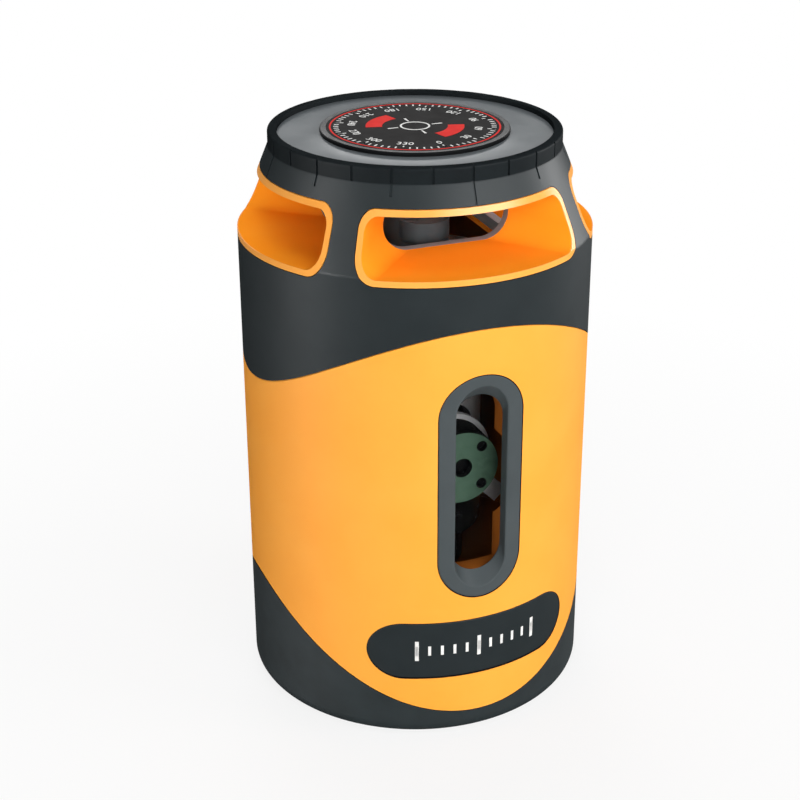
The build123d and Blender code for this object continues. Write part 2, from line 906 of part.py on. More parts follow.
def magnet_solids(top):
    # Spread over the ring from the lock arm's gap
    start = lock_az - 90 + 180 / magnet_count
    return around(magnet_count, (holder_r_in + holder_r) / 2, post(magnet_r, top - magnet_h, top), start)


def make_damping_magnets():
    return Compound(children=magnet_solids(copper_z - magnet_gap))


def lock_end_y():
    # Where the arm's tab meets the slider's stem, inside the chassis wall
    return chassis_r_in - lock_tab_gap


def make_lock_arm():
    top = lock_z + lock_arm_t
    arm = block(-lock_arm_w / 2, lock_arm_w / 2, -lock_end_y(), 0, lock_z, top)
    tab_y = -lock_end_y()
    tab = block(-lock_tab_w / 2, lock_tab_w / 2, tab_y, tab_y + lock_tab_t, lock_z, lock_z + lock_tab_h)
    return facing(lock_az, arm + tab) + post(lock_pad_r, lock_z, top)


def make_lock_pad():
    return post(lock_pad_r, lock_z + lock_arm_t, lock_pad_top_z)


def make_lock_slider():
    stem_top = lock_z + lock_stem_h
    face_y = -can_r - run_gap
    stem = block(-lock_stem_w / 2, lock_stem_w / 2, face_y, -lock_end_y(), lock_z, stem_top)
    middle = (lock_z + stem_top) / 2
    knob = Pos(0, face_y - lock_knob_t / 2, middle) * Box(lock_knob_w, lock_knob_t, lock_knob_h)
    knob = fillet(knob.faces().sort_by(Axis.Y)[0].edges(), lock_knob_round)
    pitch = lock_knob_h / (lock_grip_count + 1)
    groove_y = face_y - lock_knob_t - lock_grip_r + lock_grip_depth
    for k in range(lock_grip_count):
        z = middle - lock_knob_h / 2 + pitch * (k + 1)
        knob = knob - rod_x(lock_grip_r, -far, far, groove_y, z)
    return facing(lock_az, stem + knob)


# Rear controls

def make_mode_button():
    cap = rod_y(button_r, flange_y, can_r - button_sink, z=panel_z)
    cap = fillet(cap.edges().sort_by(Axis.Y)[-1], button_round)
    flange = rod_y(flange_r, flange_y, flange_y + flange_t, z=panel_z)
    stem_end = board_back_y + switch_t + button_travel + run_gap
    return cap + flange + rod_y(button_stem_r, stem_end, flange_y, z=panel_z)


def make_tact_switch():
    half = switch_size / 2
    return block(-half, half, board_back_y, board_back_y + switch_t, panel_z - half, panel_z + half)


def make_charge_port():
    mouth = can_r - port_sink
    shell = port_block(0, mouth, port_back_y)
    cavity = port_block(-port_wall, far, mouth - port_depth)
    tongue_z = port_tongue_t / 2
    tongue = block(
        -port_tongue_w / 2, port_tongue_w / 2,
        -mouth + 2 * port_wall, -port_back_y,
        panel_z - tongue_z, panel_z + tongue_z,
    )
    shell = facing(port_az, shell - cavity + tongue)
    foot_x = port_back_y * math.sin(port_turn)
    foot = block(
        foot_x - port_foot_w / 2, foot_x + port_foot_w / 2,
        board_back_y, far,
        panel_z - port_foot_h / 2, panel_z + port_foot_h / 2,
    )
    foot = foot & facing(port_az, port_block(0, mouth - port_depth - port_wall, 0))
    return shell + foot


def flap_axis():
    # Hinge line of the flap: distance from the can's axis and height
    return can_r - flap_barrel_r, panel_z + flap_h / 2 - flap_barrel_r


def flap_pocket():
    axis_y, axis_z = flap_axis()
    half = flap_w / 2 + fit_gap
    low = panel_z - flap_h / 2 - fit_gap
    recess = block(-half, half, -far, 0, low, axis_z + fit_gap)
    recess = recess - post(can_r - flap_t - run_gap, 0, can_h)
    barrel = rod_x(flap_barrel_r + fit_gap, -half, half, -axis_y, axis_z)
    over = block(-half, half, -far, -axis_y, axis_z, axis_z + flap_barrel_r + fit_gap)
    return facing(port_az, recess + barrel + over)


def make_port_flap():
    axis_y, axis_z = flap_axis()
    leaf = block(-flap_w / 2, flap_w / 2, -far, 0, panel_z - flap_h / 2, axis_z)
    leaf = leaf & tube(can_r - flap_t, can_r, 0, can_h)
    barrel = rod_x(flap_barrel_r, -flap_w / 2, flap_w / 2, -axis_y, axis_z) & post(can_r, 0, can_h)
    return facing(port_az, leaf + barrel)


# Electronics

def make_main_board():
    z1 = board_z + board_h
    board = block(board_x0, board_x1, board_y, board_back_y, board_z, z1)
    middle = (board_x0 + board_x1) / 2
    chip_z = (board_z + z1) / 2
    chip = block(
        middle - chip_size / 2, middle + chip_size / 2,
        board_y - chip_t, board_y,
        chip_z, chip_z + chip_size,
    )
    board = board + chip
    for x in board_screw_xs:
        board = board - rod_y(board_screw_r + fit_gap, 0, far, x, board_screw_z())
    return board


def make_board_screws():
    length = board_screw_head_h + board_t + board_screw_len
    one = Rot(-90, 0, 0) * screw(board_screw_r, board_screw_head_r, board_screw_head_h, length)
    places = [Pos(x, board_y - board_screw_head_h, board_screw_z()) for x in board_screw_xs]
    return Compound(children=[place * one for place in places])


# Every piece and the name of its file

PIECES = {
    "upper_jacket": make_upper_jacket,
    "lower_jacket": make_lower_jacket,
    "body_casing": make_body_casing,
    "slot_bezel": make_slot_bezel,
    "slot_pane": make_slot_pane,
    "front_pad": make_front_pad,
    "control_panel": make_control_panel,
    "inner_chassis": make_inner_chassis,
    "window_ring": make_window_ring,
    "pane_carrier": make_pane_carrier,
    "top_plate": make_top_plate,
    "top_disc": make_top_disc,
    "top_label": make_top_label,
    "base_plate": make_base_plate,
    "tripod_insert": make_tripod_insert,
    "base_screws": make_base_screws,
    "battery_pack": make_battery_pack,
    "battery_lead": make_battery_lead,
    "gimbal_bracket": make_gimbal_bracket,
    "bracket_screws": make_bracket_screws,
    "pitch_bearings": make_pitch_bearings,
    "roll_bearings": make_roll_bearings,
    "gimbal_ring": make_gimbal_ring,
    "pitch_pins": make_pitch_pins,
    "roll_pins": make_roll_pins,
    "pendulum_column": make_pendulum_column,
    "module_block": make_module_block,
    "trim_screws": make_trim_screws,
    "balance_weight": make_balance_weight,
    "damping_plate": make_damping_plate,
    "horizontal_barrel": make_horizontal_barrel,
    "horizontal_lens": make_horizontal_lens,
    "horizontal_diode": make_horizontal_diode,
    "prism_sleeve": make_prism_sleeve,
    "cone_mirror": make_cone_mirror,
    "prism_cap": make_prism_cap,
    "vertical_barrel": make_vertical_barrel,
    "vertical_front_plate": make_vertical_front_plate,
    "clamp_ring": make_clamp_ring,
    "vertical_lens": make_vertical_lens,
    "vertical_diode": make_vertical_diode,
    "magnet_holder": make_magnet_holder,
    "damping_magnets": make_damping_magnets,
    "lock_arm": make_lock_arm,
    "lock_pad": make_lock_pad,
    "lock_slider": make_lock_slider,
    "mode_button": make_mode_button,
    "tact_switch": make_tact_switch,
    "charge_port": make_charge_port,
    "port_flap": make_port_flap,
    "main_board": make_main_board,
    "board_screws": make_board_screws,
}
PANES = {"front": 0, "right": 90, "rear": 180, "left": 270}

os.makedirs("parts", exist_ok=True)
for name, make in PIECES.items():
    export_step(make(), f"parts/{name}.step")
for side, azimuth in PANES.items():
    export_step(make_window_pane(azimuth), f"parts/window_pane_{side}.step")
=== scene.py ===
import bpy
import bmesh
import json
import math
from mathutils import Matrix, Vector


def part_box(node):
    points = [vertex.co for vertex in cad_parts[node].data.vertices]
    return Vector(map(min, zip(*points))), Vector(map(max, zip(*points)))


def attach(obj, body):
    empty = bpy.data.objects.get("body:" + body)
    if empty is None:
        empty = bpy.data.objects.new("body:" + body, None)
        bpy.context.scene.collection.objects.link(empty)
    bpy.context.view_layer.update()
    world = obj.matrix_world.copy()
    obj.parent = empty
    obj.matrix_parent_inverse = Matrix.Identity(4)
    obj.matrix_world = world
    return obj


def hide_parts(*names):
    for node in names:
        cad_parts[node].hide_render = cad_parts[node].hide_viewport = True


# Looks of a can-shaped line laser level, dressed over its solids.
# Metres, +Z up, the beam slot faces -Y.

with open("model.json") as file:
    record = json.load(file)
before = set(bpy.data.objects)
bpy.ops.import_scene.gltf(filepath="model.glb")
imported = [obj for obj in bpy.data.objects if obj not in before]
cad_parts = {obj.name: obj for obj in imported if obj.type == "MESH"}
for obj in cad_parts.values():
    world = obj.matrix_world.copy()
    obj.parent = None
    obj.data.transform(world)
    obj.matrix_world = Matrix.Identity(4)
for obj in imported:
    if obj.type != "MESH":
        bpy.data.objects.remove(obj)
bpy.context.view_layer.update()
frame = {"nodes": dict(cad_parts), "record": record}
nodes = frame["nodes"]
MM = 0.001

# Sizes read from the frame
can_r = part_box("body_casing")[1].x
can_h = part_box("upper_jacket")[1].z
label_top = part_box("top_label")[1].z
pad_low, pad_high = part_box("front_pad")
pad_face_r = -pad_low.y
pad_mid_z = (pad_low.z + pad_high.z) / 2
insert_low, insert_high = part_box("tripod_insert")
disc_face_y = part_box("vertical_front_plate")[0].y
key_low, key_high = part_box("mode_button")
key_mid_z = (key_low.z + key_high.z) / 2
knob_low, knob_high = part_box("lock_slider")
knob_mid_z = (knob_low.z + knob_high.z) / 2
flap_low, flap_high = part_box("port_flap")
flap_mid_z = (flap_low.z + flap_high.z) / 2

# Places of the controls round the can in degrees, and the lock's travel
lock_azimuth = 204
flap_azimuth = 160
lock_travel = 4.5 * MM

# Sloping shoulder of the can, where the window lips lie, and the upright neck on it
neck_h = 2.8 * MM
neck_r = 26.9 * MM
shoulder_h = 15.0 * MM
neck_z = can_h - neck_h
shoulder_z = neck_z - shoulder_h
shoulder_slope = (can_r - neck_r) / shoulder_h

# Tones and gloss
tone_band = (0.35, 0.65)            # part of the noise over which two tones change
tone_detail = 3.0
gloss_band = (0.3, 0.7)             # part of the noise over which the roughness changes
gloss_detail = 4.0
grain_detail = 2.0
plastic_ior = 1.52
plastic_spread = 0.05               # of the roughness, either way
metal_spread = (0.05, 0.06)         # of the roughness, down and up
metal_patch_mm = 3
rubber_tones = ("#202628", "#23292B")
skin_film = 0.012                   # weight of the faint satin film on the can's skins
neck_film = 0.3 * skin_film
foot_film = 1.6 * skin_film
film_ior = 3.0                      # high, so that the film's gloss stays even towards the can's edges
film_roughness = 0.5
lip_polish = 0.12                   # weight of the gloss on the window lips
lip_roughness = 0.30
lip_depth = (0.25 * MM, 0.08 * MM)      # below the can's surface, where the lips' gloss and painted highlight begin and are full
neck_edge = (-0.3 * MM, 0.1 * MM)       # from the foot of the neck, where its painted shade and thinner film begin and are full
lacquer_t = (0.02 * MM, 0.06 * MM)      # behind the green face, where its lacquer starts to fade and is gone

# Printed marks
ink_t = 0.03 * MM
ink_sink = 0.01 * MM        # ink starts this far below the surface that it lies on
mark_line_w = 0.28 * MM
corner_limit = 0.5          # keeps a line at a sharp corner to twice its width
number_weld = 0.001 * MM    # points of a number that lie this close are one

# Degree dial on the label
dial_ink_z = label_top + (ink_t - ink_sink) / 2
dial_ring_r = 15.5 * MM
dial_ring_w = 0.32 * MM
dial_ring_steps = 180
dial_tick_r = 14.85 * MM    # outer ends of the ticks
dial_tick_w = 0.28 * MM
dial_minor_len = 0.9 * MM
dial_minor_count = 72
dial_major_len = 1.6 * MM
dial_major_count = 12
dial_number_r = 11.7 * MM
dial_number_h = 2.1 * MM
dial_number_step = 30
dial_sector_r = (6.0 * MM, 9.0 * MM)
dial_sector_starts = (15, 195)
dial_sector_sweep = 60
dial_sector_steps = 24
dial_cross_r = 4.4 * MM
dial_cross_w = 0.35 * MM
dial_cross_half = math.degrees(dial_cross_w / 2 / dial_cross_r)     # half the width of an arm, in degrees
dial_cross_arm = (dial_cross_r * 0.75, dial_cross_r * 1.2)
dial_circle_r = dial_cross_r * 0.55
dial_circle_steps = 72

# Tick scale on the front pad
scale_step = 2.4 * MM
scale_count = 11
scale_major_count = 3
scale_minor_h = 2.0 * MM
scale_major_h = 4.2 * MM
scale_minor_w = 0.55 * MM
scale_major_w = scale_minor_w * 1.3
scale_bend_steps = 40

# Padlocks beside the lock slider
lock_mark_turn = 11         # from the slider, in degrees
lock_mark_w = 1.5 * MM
lock_mark_h = 1.1 * MM
shackle_r = lock_mark_w * 0.32
shackle_rise = lock_mark_h * 0.35
shackle_open = shackle_rise * 0.8       # height of the free end of a lifted shackle
shackle_steps = 16

# On and off sign on the key
key_mark_r = 1.35 * MM
key_mark_start = 120
key_mark_sweep = 300
key_mark_steps = 40
key_bar = (key_mark_r * 0.35, key_mark_r * 1.25)

# Charging bolt on the flap, in mm across and up
bolt_mark = ((0.35, 1.5), (-0.75, -0.15), (-0.1, -0.15), (-0.35, -1.5), (0.75, 0.2), (0.1, 0.2))

# Pull rib along the foot of the port flap
rib_r = 0.40 * MM
rib_end_r = 0.02 * MM
rib_half = 3.2 * MM
rib_rise = 0.75 * MM        # its middle above the flap's lower edge
rib_fullness = 8            # the higher, the blunter its ends
rib_steps = 24
rib_sides = 8

# Black beads laid in the seams round the inlays as their painted shade, each with its turn round the can
shaded_seams = {"slot_bezel": 0.0, "front_pad": 0.0, "control_panel": math.pi}
seam_w = 0.15 * MM
shade_bead_r = 0.18 * MM
shade_bead_sink = 0.19 * MM       # middle of the bead below the can's surface
shade_bead_step = 0.5 * MM
shade_bead_sides = 8
shade_bead_corner = 0.4999        # radius of its corners as a share of its narrow side
shade_bead_corner_steps = 24

# Tripod thread, quarter inch with 20 turns to the inch
thread_pitch = 1.27 * MM
thread_crest_r = 2.55 * MM
thread_root_r = 3.15 * MM
thread_mouth = 0.7 * MM     # depth of the countersunk mouth
thread_columns = 48
thread_rows = 84

# Stage
floor_half = 3.0
floor_hex = "#D4D4D4"
floor_fade = (0.05, 0.20)   # from the can's axis, where the floor turns to plain white
floor_white = 0.84          # share of plain white at the can's foot
room_light = 0.12           # of the white surroundings on the object

# Lamps: azimuth and elevation in degrees, width and height in metres, power in watts
lamp_reach = 0.7
soft_boxes = {
    "front": (5, 21, 0.50, 0.45, 2.85),
    "left": (-35, 18, 0.22, 0.45, 2.3),
    "right": (56, 20, 0.25, 0.45, 2.0),
    "back": (158, 28, 0.50, 0.13, 1.6),
    "rear": (178, 42, 0.40, 0.30, 1.8),
    "top": (-20, 80, 0.25, 0.25, 0.5),
}
kept_off = {"left": ["vertical_front_plate", "clamp_ring"]}
can_skins = ["body_casing", "upper_jacket", "lower_jacket", "front_pad"]
gleams = {
    "front_gleam": (26, 21, 0.66, 0.20, 35.0, can_skins + ["window_ring"]),
    "left_gleam": (-88, 5, 0.10, 0.26, 40.0, can_skins),
    "right_gleam": (95, 5, 0.12, 0.26, 54.0, can_skins),
    "lip_gleam": (96, 5, 0.16, 0.26, 9.0, ["window_ring"]),
}

# Camera: focal length and sensor in mm, place round the can and height
camera_lens = 75.46
camera_sensor = 36
camera_azimuth = -21.5
camera_reach = 297.93 * MM
camera_height = 192.74 * MM
camera_pitch = 24.736
camera_near = 10 * MM
axis_right_px = 15
frame_px = 800


# Colours are written as sRGB hex values

def linear(hex_text):
    parts = [int(hex_text[k:k + 2], 16) / 255 for k in (1, 3, 5)]
    return [c / 12.92 if c <= 0.04045 else ((c + 0.055) / 1.055) ** 2.4 for c in parts] + [1.0]


# Node trees, for shaders and for geometry

def add(tree, kind, values=None, links=None, **settings):
    made = tree.nodes.new(kind)
    for key, value in settings.items():
        setattr(made, key, value)
    for key, value in (values or {}).items():
        made.inputs[key].default_value = value
    for key, source in (links or {}).items():
        tree.links.new(source, made.inputs[key])
    return made


def calc(tree, operation, *terms):
    # A sum on plain numbers and the outputs of other nodes
    made = add(tree, "ShaderNodeMath", operation=operation)
    for k, term in enumerate(terms):
        if isinstance(term, float):
            made.inputs[k].default_value = term
        else:
            tree.links.new(term, made.inputs[k])
    return made.outputs[0]


def remap(tree, value, span=(0.0, 1.0), target=(0.0, 1.0), kind="LINEAR"):
    # Brings a value from one span to another, and holds it within that
    made = add(
        tree, "ShaderNodeMapRange",
        {"From Min": span[0], "From Max": span[1], "To Min": target[0], "To Max": target[1]},
        {"Value": value}, interpolation_type=kind,
    )
    return made.outputs["Result"]


def vector(tree, **axes):
    return add(tree, "ShaderNodeCombineXYZ", links=axes).outputs[0]


def axes_of(tree, source):
    return add(tree, "ShaderNodeSeparateXYZ", links={"Vector": source}).outputs


def surface(name, **shader_values):
    # A material with its shader, its tree and its place coordinates
    material = bpy.data.materials.new(name)
    material.use_nodes = True
    tree = material.node_tree
    shader = tree.nodes["Principled BSDF"]
    for key, value in shader_values.items():
        shader.inputs[key.replace("_", " ")].default_value = value
    place = add(tree, "ShaderNodeTexCoord").outputs["Object"]
    return material, tree, shader, place


def patches(tree, place, size_mm, detail):
    # Soft noise in patches of about the given size
    noise = add(
        tree, "ShaderNodeTexNoise",
        {"Scale": 1 / (size_mm * MM), "Detail": detail}, {"Vector": place},
    )
    return noise.outputs["Fac"]


def tones(tree, place, low_hex, high_hex, size_mm):
    # Colour that drifts between two near tones over patches of the given size
    drift = patches(tree, place, size_mm, tone_detail)
    ramp = add(tree, "ShaderNodeValToRGB", links={"Fac": drift})
    for stop, position, hex_text in zip(ramp.color_ramp.elements, tone_band, (low_hex, high_hex)):
        stop.position = position
        stop.color = linear(hex_text)
    return ramp.outputs["Color"]


def vary_colour(tree, shader, place, low_hex, high_hex, size_mm):
    tree.links.new(tones(tree, place, low_hex, high_hex, size_mm), shader.inputs["Base Color"])


def blend_colour(tree, shader, mask, colour, masked_colour):
    # One colour that passes into another where the mask is full
    blend = add(
        tree, "ShaderNodeMix",
        links={"Factor": mask, "A": colour, "B": masked_colour}, data_type="RGBA",
    )
    tree.links.new(blend.outputs["Result"], shader.inputs["Base Color"])


def vary_gloss(tree, shader, place, low, high, size_mm):
    spread = remap(tree, patches(tree, place, size_mm, gloss_detail), gloss_band, (low, high))
    tree.links.new(spread, shader.inputs["Roughness"])


def grain(tree, shader, place, size_mm, depth_mm):
    # Fine relief of a moulded or blasted surface
    bump = add(
        tree, "ShaderNodeBump",
        {"Strength": 1.0, "Distance": depth_mm * MM},
        {"Height": patches(tree, place, size_mm, grain_detail)},
    )
    tree.links.new(bump.outputs["Normal"], shader.inputs["Normal"])


# Plastics and rubber

def moulded(name, low_hex, high_hex, roughness, level, patch_mm=8, grain_mm=0.30, depth_mm=0.010, film=0.0):
    # A moulded skin: two near tones, a little uneven gloss, the tool's fine grain and perhaps a satin film
    material, tree, shader, place = surface(
        name, IOR=plastic_ior, Specular_IOR_Level=level,
        Coat_Weight=film, Coat_IOR=film_ior, Coat_Roughness=film_roughness,
    )
    vary_colour(tree, shader, place, low_hex, high_hex, patch_mm)
    vary_gloss(tree, shader, place, roughness - plastic_spread, roughness + plastic_spread, patch_mm / 2)
    grain(tree, shader, place, grain_mm, depth_mm)
    return material


def orange_abs():
    # ABS moulded against a spark-eroded tool: satin, with a very fine grain
    return moulded(
        "orange_abs", "#F7A13B", "#F8A540",
        roughness=0.48, level=0.0, patch_mm=14, grain_mm=0.35, film=skin_film,
    )


def window_orange():
    # The same ABS in the windows, dull in the funnels and polished on the lips' outer faces; painted shade
    # makes the funnels a deeper orange and a painted highlight makes the lips paler
    material, tree, shader, place = surface(
        "window_orange", IOR=plastic_ior, Specular_IOR_Level=0.0, Coat_Roughness=lip_roughness,
    )
    spot = axes_of(tree, place)
    flat = vector(tree, X=spot["X"], Y=spot["Y"])
    radius = add(tree, "ShaderNodeVectorMath", links={0: flat}, operation="LENGTH").outputs["Value"]
    above = calc(tree, "MAXIMUM", calc(tree, "SUBTRACT", spot["Z"], shoulder_z), 0.0)
    reach = calc(tree, "MULTIPLY_ADD", above, shoulder_slope, radius)
    lip = remap(tree, reach, [can_r - depth for depth in lip_depth], kind="SMOOTHSTEP")
    # Painted shade in the funnels, painted highlight on the lips
    funnel_shade_colour = tones(tree, place, "#FE9A22", "#FF9E27", size_mm=10)
    lip_highlight_colour = tones(tree, place, "#F3A247", "#F4A64D", size_mm=10)
    blend_colour(tree, shader, lip, funnel_shade_colour, lip_highlight_colour)
    tree.links.new(remap(tree, lip, target=(0.0, lip_polish)), shader.inputs["Coat Weight"])
    vary_gloss(tree, shader, place, low=0.36, high=0.46, size_mm=5)
    grain(tree, shader, place, size_mm=0.35, depth_mm=0.006)
    return material


def shaded_orange():
    # The chassis inside: the same ABS, unpolished, with painted shade that makes its colour much darker
    return moulded(
        "shaded_orange", "#8A4E1C", "#925420",
        roughness=0.60, level=0.01, patch_mm=9, grain_mm=0.40,
    )


def dark_rubber():
    # Overmoulded elastomer: dull, dark blue-grey, with a soft bloom
    return moulded("dark_rubber", *rubber_tones, roughness=0.50, level=0.0, patch_mm=9, film=skin_film)


def upper_rubber():
    # The same rubber: its upright neck has a darker tone as painted shade, and a thinner film
    material, tree, shader, place = surface(
        "upper_rubber", Specular_IOR_Level=0.0, Coat_IOR=film_ior, Coat_Roughness=film_roughness,
    )
    height = axes_of(tree, place)["Z"]
    neck = remap(tree, height, [neck_z + step for step in neck_edge], kind="SMOOTHSTEP")
    shoulder_colour = tones(tree, place, *rubber_tones, size_mm=9)
    # Darker tone on the neck: painted shade
    neck_shade_colour = tones(tree, place, "#161A1C", "#1A1F21", size_mm=9)
    blend_colour(tree, shader, neck, shoulder_colour, neck_shade_colour)
    tree.links.new(remap(tree, neck, target=(skin_film, neck_film)), shader.inputs["Coat Weight"])
    vary_gloss(tree, shader, place, low=0.45, high=0.55, size_mm=4.5)
    grain(tree, shader, place, size_mm=0.30, depth_mm=0.010)
    return material


def foot_rubber():
    # The same rubber round the foot, a little paler
    return moulded(
        "foot_rubber", "#242A2C", "#282F31",
        roughness=0.50, level=0.0, patch_mm=7, film=foot_film,
    )


def charcoal_plastic():
    # Satin ABS inlays, a little lighter than the rubber
    return moulded(
        "charcoal_plastic", "#3F4547", "#43494B",
        roughness=0.42, level=0.12, patch_mm=7, grain_mm=0.28, depth_mm=0.008,
    )


def carrier_grey():
    # Pale grey glass-filled nylon of the pane carrier
    return moulded(
        "carrier_grey", "#8A9194", "#90979A",
        roughness=0.36, level=0.2, grain_mm=0.28, depth_mm=0.006,
    )


def plate_sheen():
    # Grey ABS of the top plate, polished so that its shallow dish catches a glow
    return moulded(
        "plate_sheen", "#5F6467", "#62676A",
        roughness=0.17, level=0.012, patch_mm=12, grain_mm=0.28, depth_mm=0.0002,
    )


def black_acrylic():
    # Cast acrylic disc: deep black with a clear gloss
    return moulded(
        "black_acrylic", "#131415", "#171819",
        roughness=0.20, level=0.02, patch_mm=5, grain_mm=0.50, depth_mm=0.001,
    )


def printed_film():
    # Satin polyester film, printed black
    return moulded(
        "printed_film", "#1A1919", "#1E1D1D",
        roughness=0.45, level=0.003, patch_mm=6, grain_mm=0.40, depth_mm=0.001,
    )


def white_ink():
    # Screen-printed white, slightly uneven
    return moulded(
        "white_ink", "#DADAD8", "#E6E6E4",
        roughness=0.45, level=0.01, patch_mm=2, grain_mm=0.15, depth_mm=0.003,
    )


def red_ink():
    # Screen-printed red, slightly uneven
    return moulded(
        "red_ink", "#D22A26", "#DC332E",
        roughness=0.45, level=0.003, patch_mm=2, grain_mm=0.15, depth_mm=0.003,
    )


def black_plastic():
    # Moulded black nylon
    return moulded("black_plastic", "#1B1C1D", "#202122", roughness=0.45, level=0.25, patch_mm=4)


def seal_rubber():
    # Matt black bead in a seam, as the seam's painted shade
    return moulded("seal_rubber", "#0B0B0C", "#0F0F10", roughness=0.60, level=0.02, patch_mm=4)


def soft_rubber():
    # Black silicone of the key, the lead and the lock pad
    return moulded("soft_rubber", "#1D1E1F", "#232425", roughness=0.55, level=0.25, patch_mm=4)


def board_laminate():
    # Green solder mask over glass laminate
    return moulded("board_laminate", "#1D5A38", "#236642", roughness=0.30, level=0.4, patch_mm=3)


def cell_wrap():
    # Shrink film round the cell
    return moulded("cell_wrap", "#2C4E82", "#33578E", roughness=0.28, level=0.4, patch_mm=4)


# Glass

def clear_pane():
    # Thin polished pane: almost all light passes, a faint gloss stays
    material, tree, shader, place = surface("clear_pane", IOR=1.49, Alpha=0.02)
    vary_colour(tree, shader, place, "#141818", "#191E1E", size_mm=12)
    vary_gloss(tree, shader, place, low=0.03, high=0.07, size_mm=6)
    return material


def optical_glass():
    # Coated lens in its dark barrel: it swallows the light
    material, tree, shader, place = surface("optical_glass", IOR=1.52, Specular_IOR_Level=0.03)
    vary_colour(tree, shader, place, "#030304", "#050507", size_mm=2)
    vary_gloss(tree, shader, place, low=0.05, high=0.09, size_mm=2)
    return material


# Bare metals

def metal(name, low_hex, high_hex, roughness, grain_mm=0.30, depth_mm=0.006, metallic=1.0):
    material, tree, shader, place = surface(name, Metallic=metallic)
    vary_colour(tree, shader, place, low_hex, high_hex, metal_patch_mm)
    low, high = roughness - metal_spread[0], roughness + metal_spread[1]
    vary_gloss(tree, shader, place, low, high, metal_patch_mm / 2)
    grain(tree, shader, place, grain_mm, depth_mm)
    return material


def brass():
    # Turned brass insert, slightly dulled
    return metal("brass", "#C9A24C", "#D8B45E", roughness=0.30, grain_mm=0.25)


def zinc_steel():
    # Bright zinc plate on small fasteners
    return metal("zinc_steel", "#B9BDC0", "#C8CCCE", roughness=0.30)


def bearing_steel():
    # Ground and polished bearing steel
    return metal("bearing_steel", "#CDD0D3", "#DADDDF", roughness=0.16, depth_mm=0.003)


def blasted_aluminium():
    # Bead-blasted aluminium: its matt skin scatters most of the light
    return metal(
        "blasted_aluminium", "#DADDDE", "#E4E7E8",
        roughness=0.52, grain_mm=0.22, depth_mm=0.008, metallic=0.12,
    )


def rolled_copper():
    # Rolled copper sheet
    return metal("rolled_copper", "#C77A55", "#D68A63", roughness=0.30)


def mirror_coat():
    # Vapour-coated cone
    return metal("mirror_coat", "#EDEEEF", "#F4F5F5", roughness=0.10, grain_mm=0.40, depth_mm=0.001)


def nickel_magnet():
    # Nickel-plated magnet
    return metal("nickel_magnet", "#C6C2B8", "#D3CFC5", roughness=0.20, depth_mm=0.004)


# Coated metals

def black_anodised():
    # Matt black anodised aluminium
    return moulded(
        "black_anodised", "#17181A", "#1C1D1F",
        roughness=0.40, level=0.10, patch_mm=3, grain_mm=0.25, depth_mm=0.006,
    )


def bored_black():
    # Flat black inside and round the vertical barrel, against stray light
    return moulded(
        "bored_black", "#0B0C0D", "#0E0F10",
        roughness=0.55, level=0.04, patch_mm=3, grain_mm=0.25, depth_mm=0.006,
    )


def slate_anodised():
    # Satin slate-grey anodised barrel
    return moulded(
        "slate_anodised", "#4A5154", "#50585B",
        roughness=0.38, level=0.30, patch_mm=3, grain_mm=0.25, depth_mm=0.006,
    )


def green_anodised():
    # Matt grey-green lacquer on the plate's face, over black anodised edges and hole walls, whose black also
    # stands as painted shade in the holes
    material, tree, shader, place = surface("green_anodised", IOR=plastic_ior, Specular_IOR_Level=0.15)
    behind = remap(tree, axes_of(tree, place)["Y"], [disc_face_y + depth for depth in lacquer_t])
    face_colour = tones(tree, place, "#4A6755", "#526F5D", size_mm=1.2)
    # Black behind the face: anodised edges, and painted shade in the holes
    edge_and_hole_shade_colour = tones(tree, place, "#101112", "#131415", size_mm=3)
    blend_colour(tree, shader, behind, face_colour, edge_and_hole_shade_colour)
    vary_gloss(tree, shader, place, low=0.43, high=0.53, size_mm=1.5)
    grain(tree, shader, place, size_mm=0.22, depth_mm=0.020)
    return material


def blackened_steel():
    # Blackened steel of the balance weight
    return moulded(
        "blackened_steel", "#1C1D1F", "#222325",
        roughness=0.24, level=0.5, patch_mm=3, grain_mm=0.25, depth_mm=0.003,
    )


# Finish of each material slot, and of the nodes that have their own
finishes = {
    "orange_abs": orange_abs, "dark_rubber": dark_rubber, "charcoal_plastic": charcoal_plastic,
    "black_acrylic": black_acrylic, "printed_film": printed_film, "clear_glass": clear_pane,
    "optical_glass": optical_glass, "brass": brass, "zinc_steel": zinc_steel, "bearing_steel": bearing_steel,
    "aluminium": blasted_aluminium, "black_anodised": black_anodised, "green_anodised": green_anodised,
    "blackened_steel": blackened_steel, "copper": rolled_copper, "mirror_coat": mirror_coat,
    "magnet_nickel": nickel_magnet, "board_laminate": board_laminate, "cell_wrap": cell_wrap,
    "black_plastic": black_plastic, "lead_rubber": soft_rubber,
}
finish_of = {name: make() for name, make in finishes.items()}
own_finish = {
    "window_ring": window_orange(), "inner_chassis": shaded_orange(), "top_plate": plate_sheen(),
    "horizontal_barrel": slate_anodised(), "vertical_barrel": bored_black(),
    "lower_jacket": foot_rubber(), "upper_jacket": upper_rubber(), "pane_carrier": carrier_grey(),
}
slot_of = {row["node"]: row["material_slot"] for row in frame["record"]["subparts"]}
white = white_ink()
red = red_ink()
# Black for the beads that stand as the seams' painted shade
seam_shade = seal_rubber()


def dress_nodes():
    for name, piece in nodes.items():
        piece.data.materials.clear()
        piece.data.materials.append(own_finish.get(name) or finish_of[slot_of[name]])


# Pieces made here

def place_piece(piece, body):
    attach(piece, body)


def from_bmesh(name, shape, finish):
    # A closed piece from a bmesh, with its faces outwards
    bmesh.ops.recalc_face_normals(shape, faces=shape.faces)
    mesh = bpy.data.meshes.new(name)
    shape.to_mesh(mesh)
    shape.free()
    mesh.materials.append(finish)
    piece = bpy.data.objects.new(name, mesh)
    bpy.context.scene.collection.objects.link(piece)
    return piece


